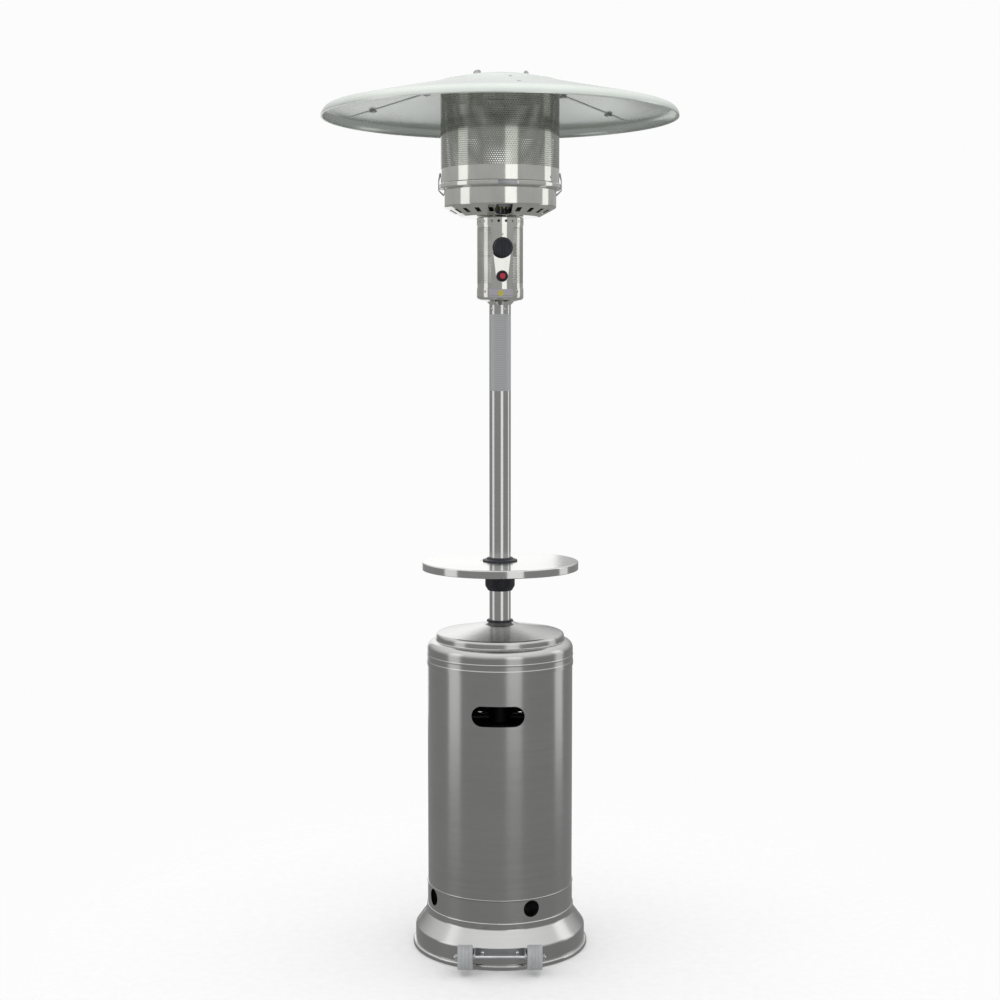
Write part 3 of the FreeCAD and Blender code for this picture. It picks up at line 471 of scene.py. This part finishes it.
def cast_iron(name):
    """Painted cast iron with a sandy skin."""
    finish = Finish(name, metallic=0.2)
    sand = finish.noise(700, detail=4, roughness=0.7)
    finish.colour(finish.ramp(sand, [(0.3, tone(30, 30, 32)), (0.7, tone(62, 62, 64))]))
    finish.roughness(finish.span(sand, 0.3, 0.7, 0.6, 0.8))
    finish.bump(sand, 0.0003, 0.8)
    return finish.material


def moulded(name, dark, bright, gloss, coat=0.0):
    """Moulded plastic with a fine spark-eroded grain and faint handling marks."""
    finish = Finish(name, Coat_Weight=coat, Coat_Roughness=0.2)
    grain = finish.noise(2200, detail=3)
    marks = finish.noise(60, (1, 1, 0.3), detail=4)
    blend = finish.sum("ADD", finish.sum("MULTIPLY", grain, 0.4), finish.sum("MULTIPLY", marks, 0.6))
    finish.colour(finish.ramp(blend, [(0.3, dark), (0.7, bright)]))
    finish.roughness(finish.span(blend, 0.3, 0.7, gloss[0], gloss[1]))
    finish.bump(grain, 0.00006, 0.5)
    return finish.material


def glazed_ceramic(name):
    """The electrode's off-white glaze."""
    finish = Finish(name, Coat_Weight=0.6)
    specks = finish.noise(900, detail=3)
    finish.colour(finish.ramp(specks, [(0.35, tone(216, 210, 196)), (0.65, tone(240, 237, 228))]))
    finish.roughness(finish.span(specks, 0.3, 0.7, 0.25, 0.4))
    finish.bump(specks, 0.00005, 0.3)
    return finish.material


def black_paint(name):
    """Satin black paint with a slight orange peel; its near-black tone is partly the paint's own colour
    and partly painted shade for the parts seen through the housing's hand slot.
    """
    finish = Finish(name)
    peel = finish.noise(500, detail=2)
    # near black: partly the paint's own colour, partly painted shade inside the hand slot
    finish.colour(finish.ramp(peel, [(0.3, tone(9, 9, 10)), (0.7, tone(16, 16, 17))]))
    finish.roughness(finish.span(peel, 0.3, 0.7, 0.42, 0.58))
    finish.bump(peel, 0.0001, 0.4)
    return finish.material


def label_foil(name):
    """Pale foil with faint grey rules and no lettering."""
    finish = Finish(name)
    paper = finish.noise(700, detail=3)
    plain = finish.ramp(paper, [(0.3, tone(180, 181, 182)), (0.7, tone(190, 191, 192))])
    axes = finish.axes()
    row = finish.sum("MULTIPLY", axes["Z"], 1 / LABEL_RULE_PITCH)
    line = finish.sum("LESS_THAN", finish.sum("FRACT", row), 0.3)
    inset = finish.sum("LESS_THAN", finish.sum("ABSOLUTE", axes["X"]), LABEL_RULE_REACH)
    ruled = finish.sum("MULTIPLY", line, inset)
    finish.colour(finish.mix(finish.sum("MULTIPLY", ruled, 0.4), plain, tone(120, 122, 128)))
    finish.roughness(finish.span(paper, 0.3, 0.7, 0.35, 0.5))
    finish.bump(paper, 0.00003, 0.3)
    return finish.material


def sticker(name):
    """A pale lavender sticker with a plain yellow dot and one thin rule."""
    finish = Finish(name)
    paper = finish.noise(700, detail=3)
    plain = finish.ramp(paper, [(0.3, tone(176, 172, 182)), (0.7, tone(192, 188, 198))])
    dot = polar(CUP_R, STICKER_DOT_AZIMUTH, STICKER_Z)
    away = finish.add("VectorMath", operation="DISTANCE")
    finish.link(finish.place, away.inputs[0])
    away.inputs[1].default_value = dot
    spot = finish.sum("LESS_THAN", away.outputs["Value"], STICKER_DOT_R)
    off_rule = finish.sum("ABSOLUTE", finish.sum("SUBTRACT", finish.axes()["Z"], STICKER_Z - 6 * MM))
    rule = finish.sum("MULTIPLY", finish.sum("LESS_THAN", off_rule, 0.5 * MM), 0.5)
    ruled = finish.mix(rule, plain, tone(110, 106, 120))
    finish.colour(finish.mix(spot, ruled, tone(208, 200, 76)))
    finish.roughness(finish.span(paper, 0.3, 0.7, 0.35, 0.5))
    finish.bump(paper, 0.00003, 0.3)
    return finish.material


MATERIALS = {
    "brushed_steel": brushed("brushed_steel", tone(177, 177, 176), tone(191, 191, 190), (0.18, 0.26)),
    "post_steel": brushed("post_steel", tone(200, 200, 199), tone(214, 214, 213), (0.09, 0.15)),
    "table_steel": brushed("table_steel", tone(198, 198, 196), tone(214, 214, 212), (0.10, 0.18)),
    "polished_steel": polished("polished_steel", tone(214, 214, 208), tone(228, 228, 222), (0.05, 0.12)),
    "screen_steel": screen_steel("screen_steel"),
    "zinc_steel": plated("zinc_steel", tone(158, 160, 162), tone(190, 192, 194)),
    "bright_fastener": plated("bright_fastener", tone(196, 197, 198), tone(222, 223, 224), (0.16, 0.28)),
    "cast_iron": cast_iron("cast_iron"),
    "black_paint": black_paint("black_paint"),
    "label_foil": label_foil("label_foil"),
    "sticker": sticker("sticker"),
    "brass": plated("brass", tone(176, 142, 74), tone(206, 174, 104), (0.22, 0.36)),
    "aluminium": satin_aluminium("aluminium"),
    "black_plastic": moulded("black_plastic", tone(24, 26, 34), tone(36, 38, 50), (0.42, 0.58)),
    "grey_plastic": moulded("grey_plastic", tone(150, 151, 152), tone(172, 173, 174), (0.38, 0.52)),
    "red_plastic": moulded("red_plastic", tone(168, 22, 44), tone(198, 38, 62), (0.3, 0.42), coat=0.3),
    "white_ceramic": glazed_ceramic("white_ceramic"),
}


def dress_cad_nodes():
    """Give each CAD node the procedural material of its slot."""
    for node in NODES.values():
        slots = node.data.materials
        for i, old in enumerate(slots):
            slots[i] = MATERIALS[old.name.split(".")[0]]
    NODES["post"].data.materials[0] = MATERIALS["post_steel"]
    NODES["table_top"].data.materials[0] = MATERIALS["table_steel"]


# ---------------------------------------------------------------- emitter and control screens

def emitter_screens():
    """The screen round the flame in two halves, punched above a plain foot."""
    radius = radius_of("emitter_screen")
    foot, top = low_z("emitter_screen"), high_z("emitter_screen")
    heights = (foot, foot + SCREEN_FOOT, top - SCREEN_TOP, top)
    join = HEAD_TURN - 96
    for name, start in (("emitter_screen_front", join), ("emitter_screen_back", join + 180)):
        azimuths = (start + 0.05, start + 179.95)
        points, faces = perforated(radius, SHEET, heights, azimuths, SCREEN_PITCH, SCREEN_HOLE_R)
        piece = make_piece(name, points, faces, [MATERIALS["screen_steel"]], "stand")
        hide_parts("emitter_screen")


def control_screen():
    """The control housing's shell, punched with fine holes between plain edges."""
    low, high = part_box("control_shell")
    heights = (low.z, low.z + CONTROL_FOOT, high.z - CONTROL_TOP, high.z)
    azimuths = (HEAD_TURN + HALF_PANEL + 0.2, HEAD_TURN + 360 - HALF_PANEL - 0.2)
    points, faces = perforated(CONTROL_R, SHEET, heights, azimuths, CONTROL_PITCH, CONTROL_HOLE_R)
    piece = make_piece("control_shell_punched", points, faces, [MATERIALS["polished_steel"]],
                       "stand")
    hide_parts("control_shell")


# ---------------------------------------------------------------- knob, wheels, labels and seams

def along(points, origin, azimuth):
    """Points (across, up, out) set at an origin and turned to face out at an azimuth."""
    angle = math.radians(azimuth)
    cosine, sine = math.cos(angle), math.sin(angle)
    return [(origin[0] + a * cosine + c * sine, origin[1] + a * sine - c * cosine, origin[2] + b)
            for a, b, c in points]


def disc_stack(profile, segments, wobble=lambda turn, out: 1.0):
    """A closed body about the out axis from rings (radius, out), scaled by a wobble."""
    points = []
    for radius, out in profile:
        for i in range(segments):
            turn = 2 * math.pi * i / segments
            reach = radius * wobble(turn, out)
            points.append((reach * math.sin(turn), reach * math.cos(turn), out))
    faces = []
    for ring in range(len(profile) - 1):
        for i in range(segments):
            n = (i + 1) % segments
            low, high = ring * segments, (ring + 1) * segments
            faces.append((low + i, high + i, high + n, low + n))
    faces.append(tuple(range(segments)))
    last = (len(profile) - 1) * segments
    faces.append(tuple(range(last, last + segments))[::-1])
    return points, faces


def lobes(turn, out):
    """How far the knob reaches at a turn: six shallow lobes that grow out of its flange."""
    share = min(1.0, max(0.0, (out - 4 * MM) / (3 * MM)))
    return 1.0 - 0.035 * share * (1 - math.cos(6 * turn)) / 2


def knob_ridge(grip):
    """The pointer ridge across the knob's face, lower towards its two ends."""
    section = rounded([(-3.4 * MM, KNOB_DEPTH - 6 * MM, 0), (-2.6 * MM, KNOB_DEPTH - 0.1 * MM, 1.2 * MM),
                       (2.6 * MM, KNOB_DEPTH - 0.1 * MM, 1.2 * MM), (3.4 * MM, KNOB_DEPTH - 6 * MM, 0)])
    ends = [(-(grip - 3 * MM), 0.7), (-(grip - 4 * MM), 1.0), (grip - 4 * MM, 1.0), (grip - 3 * MM, 0.7)]
    points, faces = [], []
    count = len(section)
    for up, share in ends:
        points += [(a * share, up, b) for a, b in section]
    for level in range(len(ends) - 1):
        for j in range(count):
            k = (j + 1) % count
            low, high = level * count, (level + 1) * count
            faces.append((low + j, low + k, high + k, high + j))
    faces.append(tuple(range(count))[::-1])
    faces.append(tuple(range(len(points) - count, len(points))))
    return points, faces


def knob_grip():
    """The knob: a flange, a grip with six shallow lobes and a pointer ridge across its face."""
    grip = KNOB_R - 2.2 * MM
    shoulder = KNOB_DEPTH - 1.5 * MM
    face = KNOB_DEPTH - 2.3 * MM
    profile = rounded([(KNOB_R - 0.6 * MM, 0, 0), (KNOB_R, 0.5 * MM, 0.3 * MM), (KNOB_R, 3 * MM, 0.9 * MM),
                       (grip, 4.4 * MM, 0.9 * MM), (grip - 1.2 * MM, shoulder, 2.2 * MM),
                       (grip - 6 * MM, shoulder, 0.5 * MM), (grip - 7.5 * MM, face, 0.5 * MM),
                       (1 * MM, face, 0)], closed=False)
    points, faces = merged([disc_stack(profile, 144, lobes), knob_ridge(grip)])
    placed = along(points, polar(KNOB_BACK, HEAD_TURN, KNOB_Z), HEAD_TURN)
    piece = make_piece("knob_grip", placed, faces, [MATERIALS["black_plastic"]], "knob")
    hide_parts("knob")


def wheel_rib(turn, radius, half, side):
    """A straight rib from a wheel's hub to its rim, in the dish on one side (-1 or 1)."""
    corners = []
    for reach in (9 * MM, radius - 6.5 * MM):
        for across in (-1.1 * MM, 1.1 * MM):
            for depth in (half - 5.4 * MM, half - 1.2 * MM):
                x = reach * math.cos(turn) - across * math.sin(turn)
                y = reach * math.sin(turn) + across * math.cos(turn)
                corners.append((x, y, side * depth))
    faces = [(0, 1, 3, 2), (4, 6, 7, 5), (0, 4, 5, 1), (2, 3, 7, 6), (0, 2, 6, 4), (1, 5, 7, 3)]
    if side < 0:
        faces = [face[::-1] for face in faces]
    return corners, faces


def wheel_outline(radius, half):
    """Half a wheel's section: a tread with three grooves, and a hub and a dish on each side."""
    tread = []
    for i in range(3):
        middle = (i - 1) * GROOVE_PITCH
        tread += [(radius, middle - 1.0 * MM, 0.2 * MM), (radius - 0.8 * MM, middle - 0.6 * MM, 0.2 * MM),
                  (radius - 0.8 * MM, middle + 0.6 * MM, 0.2 * MM), (radius, middle + 1.0 * MM, 0.2 * MM)]
    side = [(radius, half, 3.4 * MM), (radius - 6 * MM, half, 0.8 * MM),
            (radius - 7 * MM, half - 5 * MM, 0.8 * MM), (10 * MM, half - 5 * MM, 0.8 * MM),
            (9 * MM, half, 0.6 * MM), (WHEEL_BORE_R, half, 0)]
    other = [(r, -out, rounding) for r, out, rounding in side[::-1]]
    return [tuple(p) for p in rounded(other + tread + side, arc_steps=3)]


def roller(name):
    """A wheel with a grooved tread, dished sides, a hub and six ribs on each side."""
    low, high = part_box(name)
    centre = (low + high) / 2
    radius = (high.z - low.z) / 2
    half = (high.x - low.x) / 2
    bodies = [lathe(wheel_outline(radius, half), segments=72)]
    for side in (-1, 1):
        bodies += [wheel_rib(math.radians(60 * i + 30), radius, half, side) for i in range(6)]
    points, faces = merged(bodies)
    placed = [(centre.x + z, centre.y + x, centre.z + y) for x, y, z in points]
    piece = make_piece(f"{name}_moulded", placed, faces, [MATERIALS["grey_plastic"]], name)
    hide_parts(name)


def patch(name, radius, thickness, azimuths, heights, material, body):
    """A thin curved sheet against a round wall."""
    outline = rounded([(radius, heights[0], 0), (radius + thickness, heights[0], thickness / 3),
                       (radius + thickness, heights[1], thickness / 3), (radius, heights[1], 0)])
    points, faces = lathe([tuple(p) for p in outline], azimuths[0], azimuths[1], segments=48)
    return make_piece(name, points, faces, [MATERIALS[material]], body)


def labels():
    """The foil round the post's top and the sticker on the cup below the controls."""
    patch("post_label", POST_R, 0.2 * MM, (HEAD_TURN - LABEL_HALF_ANGLE, HEAD_TURN + LABEL_HALF_ANGLE),
          LABEL_HEIGHTS, "label_foil", "stand")
    patch("cup_sticker", CUP_R, 0.15 * MM,
          (STICKER_AZIMUTH - STICKER_HALF_ANGLE, STICKER_AZIMUTH + STICKER_HALF_ANGLE),
          (STICKER_Z - STICKER_HALF_HEIGHT, STICKER_Z + STICKER_HALF_HEIGHT),
          "sticker", "stand")


def under_dish(radius):
    """The height of the dish's underside at a radius."""
    return DISH_Z + (DISH_R - radius) * DISH_FALL - DISH_SHEET


def seam_flange():
    """One folded flange (across, up, out), along the dish's underside."""
    radii = steps(160 * MM, 418 * MM, 24)
    half, fold = 5 * MM, 1 * MM
    points, faces = [], []
    for radius in radii:
        top = under_dish(radius)
        points += [(-half, top, radius), (-half, top - 1.4 * MM, radius), (-fold, top - 2.0 * MM, radius),
                   (fold, top - 2.0 * MM, radius), (half, top - 1.4 * MM, radius), (half, top, radius)]
    for level in range(len(radii) - 1):
        for j in range(6):
            k = (j + 1) % 6
            faces.append((level * 6 + j, level * 6 + k, level * 6 + 6 + k, level * 6 + 6 + j))
    faces.append((0, 1, 2, 3, 4, 5)[::-1])
    faces.append(tuple(range(len(points) - 6, len(points))))
    return points, faces


def seam_flanges():
    """The folded flange under each seam of the reflector, with its clips."""
    for number in range(PANEL_COUNT):
        azimuth = SEAM_AZIMUTH + number * 360 / PANEL_COUNT
        points, faces = seam_flange()
        make_piece(f"seam_flange_{number + 1}", along(points, (0, 0, 0), azimuth), faces,
                   [MATERIALS["aluminium"]], "stand")
        for place, radius in enumerate(CLIP_RADII, 1):
            points, faces = seam_clip(radius)
            make_piece(f"seam_clip_{number + 1}_{place}", along(points, (0, 0, 0), azimuth), faces,
                       [MATERIALS["zinc_steel"]], "stand")


def seam_clip(radius):
    """A speed clip that grips both flanges at a seam screw, with turned-down ends."""
    across, half = 9 * MM, 6 * MM
    outline = rounded([(-across, -2.0 * MM, 0), (-across, -5.5 * MM, 0), (-across + 1 * MM, -5.5 * MM, 0),
                       (-across + 1.2 * MM, -3.2 * MM, 0.8 * MM), (-3 * MM, -3.2 * MM, 0.5 * MM),
                       (-2 * MM, -5.0 * MM, 1 * MM), (2 * MM, -5.0 * MM, 1 * MM),
                       (3 * MM, -3.2 * MM, 0.5 * MM),
                       (across - 1.2 * MM, -3.2 * MM, 0.8 * MM), (across - 1 * MM, -5.5 * MM, 0),
                       (across, -5.5 * MM, 0), (across, -2.0 * MM, 0)], arc_steps=3)
    points = []
    for out in (radius - half, radius + half):
        points += [(a, under_dish(out) + b, out) for a, b in outline]
    count = len(outline)
    faces = [(j, (j + 1) % count, (j + 1) % count + count, j + count) for j in range(count)]
    faces.append(tuple(range(count))[::-1])
    faces.append(tuple(range(count, 2 * count)))
    return points, faces


def housing_seam():
    """The lapped and riveted seam at the back of the tank housing, clear of its hand slot."""
    azimuths = (HOUSING_SEAM_AZIMUTH - HOUSING_SEAM_HALF_ANGLE,
                HOUSING_SEAM_AZIMUTH + HOUSING_SEAM_HALF_ANGLE)
    patch("housing_seam", SHELL_R, HOUSING_LAP, azimuths, HOUSING_SEAM_HEIGHTS,
          "brushed_steel", "tank_housing")
    profile = [(3.2 * MM, 0), (3.1 * MM, 0.5 * MM), (2.4 * MM, 1.1 * MM), (1.0 * MM, 1.35 * MM)]
    rivets = []
    for height in steps(195 * MM, 700 * MM, RIVET_COUNT):
        points, faces = disc_stack(profile, 20)
        origin = polar(SHELL_R + HOUSING_LAP, HOUSING_SEAM_AZIMUTH, height)
        rivets.append((along(points, origin, HOUSING_SEAM_AZIMUTH), faces))
    points, faces = merged(rivets)
    make_piece("housing_rivets", points, faces, [MATERIALS["bright_fastener"]],
               "tank_housing")


# ---------------------------------------------------------------- the studio

def studio_world():
    """A plain soft studio: grey surroundings that brighten evenly overhead, and a pale backdrop."""
    world = bpy.data.worlds.new("studio")
    bpy.context.scene.world = world
    world.use_nodes = True
    tree = Tree(world.node_tree)
    background = world.node_tree.nodes["Background"]
    split = tree.add("SeparateXYZ")
    tree.link(tree.add("TexCoord").outputs["Generated"], split.inputs[0])
    height = tree.span(split.outputs["Z"], -1.0, 1.0)
    shade = tree.ramp(height, [(0.0, tone(150, 150, 150)), (0.5, tone(150, 150, 150)),
                               (0.7, tone(250, 250, 250)), (1.0, tone(250, 250, 250, 1.5))])
    seen = tree.add("LightPath").outputs["Is Camera Ray"]
    tree.link(tree.mix(seen, shade, tone(252, 252, 252)), background.inputs["Color"])


def soft_light(name, azimuth, distance, size, brightness):
    """A tall soft box (width, height) that faces the post and is seen in the polished steel."""
    light = bpy.data.lights.new(name, "AREA")
    light.shape = "RECTANGLE"
    light.size, light.size_y = size
    light.energy = brightness * math.pi * size[0] * size[1]
    lamp = bpy.data.objects.new(name, light)
    bpy.context.scene.collection.objects.link(lamp)
    lamp.location = polar(distance, azimuth, LIGHT_HEIGHT)
    towards_post = Vector((0, 0, LIGHT_HEIGHT)) - lamp.location
    lamp.rotation_euler = towards_post.to_track_quat("-Z", "Y").to_euler()


def floor():
    """A pale round floor that fades out into the backdrop."""
    corners = 48
    points = [polar(FLOOR_R, 360 * i / corners, -0.2 * MM) for i in range(corners)]
    mesh = bpy.data.meshes.new("floor")
    mesh.from_pydata(points, [], [tuple(range(corners))])
    ground = bpy.data.objects.new("floor", mesh)
    bpy.context.scene.collection.objects.link(ground)
    ground.visible_glossy = False
    finish = Finish("pale_floor")
    grain = finish.noise(40, detail=4)
    finish.colour(finish.ramp(grain, [(0.3, tone(234, 234, 234)), (0.7, tone(239, 239, 239))]))
    finish.roughness(finish.span(grain, 0.3, 0.7, 0.7, 0.85))
    length = finish.add("VectorMath", operation="LENGTH")
    finish.link(finish.place, length.inputs[0])
    fade = finish.span(length.outputs["Value"], FLOOR_FADE[0], FLOOR_FADE[1], 1.0, 0.0)
    finish.link(fade, finish.shader.inputs["Alpha"])
    mesh.materials.append(finish.material)


def camera():
    """The viewing camera: in front, a little above the middle of the post, tipped down."""
    data = bpy.data.cameras.new("camera")
    data.lens = 62.0
    data.sensor_width = 36.0
    view = bpy.data.objects.new("camera", data)
    view.location = CAMERA_PLACE
    view.rotation_euler = (math.radians(CAMERA_TILT), 0.0, 0.0)
    bpy.context.scene.collection.objects.link(view)
    bpy.context.scene.camera = view


camera()
studio_world()
floor()
soft_light("key", 22, 5.2, (2.2, 3.6), 0.8)
soft_light("fill", -75, 4.0, (1.6, 3.6), 0.7)
soft_light("side", 105, 4.0, (1.4, 3.6), 0.7)
soft_light("back", 190, 4.5, (2.2, 3.6), 0.7)
bpy.context.scene.view_settings.view_transform = "Standard"

dress_cad_nodes()
emitter_screens()
control_screen()
knob_grip()
roller("wheel_left")
roller("wheel_right")
labels()
seam_flanges()
housing_seam()
